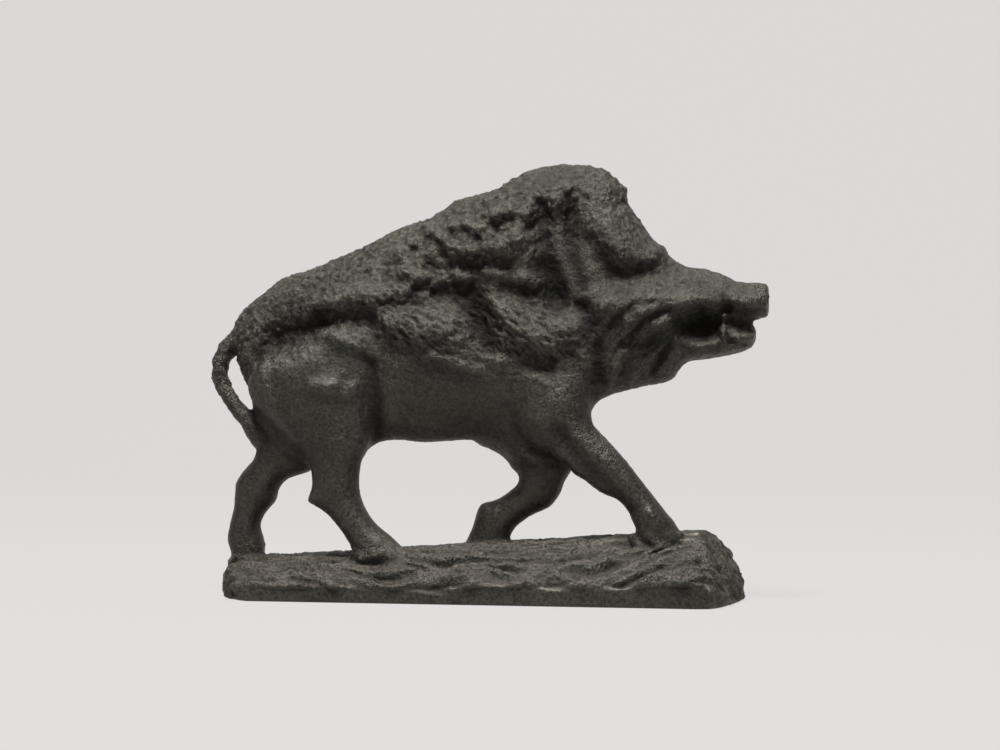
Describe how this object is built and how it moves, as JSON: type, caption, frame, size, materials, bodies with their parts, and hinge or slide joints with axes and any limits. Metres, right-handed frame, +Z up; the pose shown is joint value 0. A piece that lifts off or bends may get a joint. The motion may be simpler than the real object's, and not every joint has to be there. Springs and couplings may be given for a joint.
{
  "type": "boar figure",
  "caption": "Cast iron figure of a walking wild boar with a bristling mane, in one piece with the strip of rough ground it walks on.",
  "frame": {"origin": "middle of the figure's box, on the surface that it stands on", "axes": "+X the way the boar walks, towards the snout; +Y towards its left flank; +Z up"},
  "size_m": [0.2152, 0.0478, 0.1645],
  "materials": {
    "iron": "bare dark cast iron with a dull satin patina, rough with casting grain, and greyish brown dust where it faces up"
  },
  "bodies": {
    "root": {"boar_figure": "iron"}
  },
  "joints": []
}
